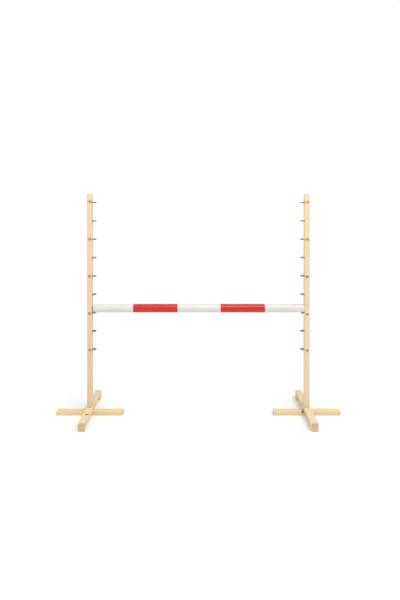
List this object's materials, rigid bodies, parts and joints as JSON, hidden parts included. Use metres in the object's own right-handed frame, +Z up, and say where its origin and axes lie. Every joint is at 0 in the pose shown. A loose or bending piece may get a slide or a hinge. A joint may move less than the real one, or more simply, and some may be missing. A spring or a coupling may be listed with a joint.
{
  "type": "agility hurdle",
  "caption": "Free-standing wooden jump hurdle: two cross-footed posts with steel pins at stepped heights, and a red and white round pole lying on them.",
  "frame": {"origin": "on the floor, midway between the two stands and midway between the ends of the long legs", "axes": "+X along the pole towards the right stand, +Y through the jump from front to back, +Z up"},
  "size_m": [1.54, 0.398, 1.202],
  "materials": {
    "pine": "planed pine, untreated",
    "pin_steel": "drawn steel wire, cut to length",
    "screw_steel": "yellow zinc plated",
    "white_tube": "extruded white plastic, semi-gloss",
    "red_film": "red self-adhesive film, semi-gloss",
    "white_cap": "moulded white plastic"
  },
  "bodies": {
    "left_stand": {"left_post": "pine", "left_long_leg": "pine", "left_cross_leg": "pine", "left_front_foot_block": "pine", "left_back_foot_block": "pine", "left_front_pin_1": "pin_steel", "left_back_pin_1": "pin_steel", "left_front_pin_2": "pin_steel", "left_back_pin_2": "pin_steel", "left_front_pin_3": "pin_steel", "left_back_pin_3": "pin_steel", "left_front_pin_4": "pin_steel", "left_back_pin_4": "pin_steel", "left_front_pin_5": "pin_steel", "left_back_pin_5": "pin_steel", "left_front_pin_6": "pin_steel", "left_back_pin_6": "pin_steel", "left_front_pin_7": "pin_steel", "left_back_pin_7": "pin_steel", "left_front_pin_8": "pin_steel", "left_back_pin_8": "pin_steel", "left_front_pin_9": "pin_steel", "left_back_pin_9": "pin_steel", "left_front_post_screw": "screw_steel", "left_back_post_screw": "screw_steel", "left_front_block_screw": "screw_steel", "left_back_block_screw": "screw_steel"},
    "pole": {"pole_tube": "white_tube", "left_red_band": "red_film", "right_red_band": "red_film", "left_end_cap": "white_cap", "right_end_cap": "white_cap"},
    "right_stand": {"right_post": "pine", "right_long_leg": "pine", "right_cross_leg": "pine", "right_front_foot_block": "pine", "right_back_foot_block": "pine", "right_front_pin_1": "pin_steel", "right_back_pin_1": "pin_steel", "right_front_pin_2": "pin_steel", "right_back_pin_2": "pin_steel", "right_front_pin_3": "pin_steel", "right_back_pin_3": "pin_steel", "right_front_pin_4": "pin_steel", "right_back_pin_4": "pin_steel", "right_front_pin_5": "pin_steel", "right_back_pin_5": "pin_steel", "right_front_pin_6": "pin_steel", "right_back_pin_6": "pin_steel", "right_front_pin_7": "pin_steel", "right_back_pin_7": "pin_steel", "right_front_pin_8": "pin_steel", "right_back_pin_8": "pin_steel", "right_front_pin_9": "pin_steel", "right_back_pin_9": "pin_steel", "right_front_post_screw": "screw_steel", "right_back_post_screw": "screw_steel", "right_front_block_screw": "screw_steel", "right_back_block_screw": "screw_steel"}
  },
  "joints": [
    {"name": "pole_lift", "type": "slide", "parent": "left_stand", "child": "pole", "axis": [0, -0.7071, 0.7071], "range_m": [0, 0.15]},
    {"name": "stand_spacing", "type": "slide", "parent": "left_stand", "child": "right_stand", "axis": [1, 0, 0], "range_m": [0, 0.01]}
  ]
}
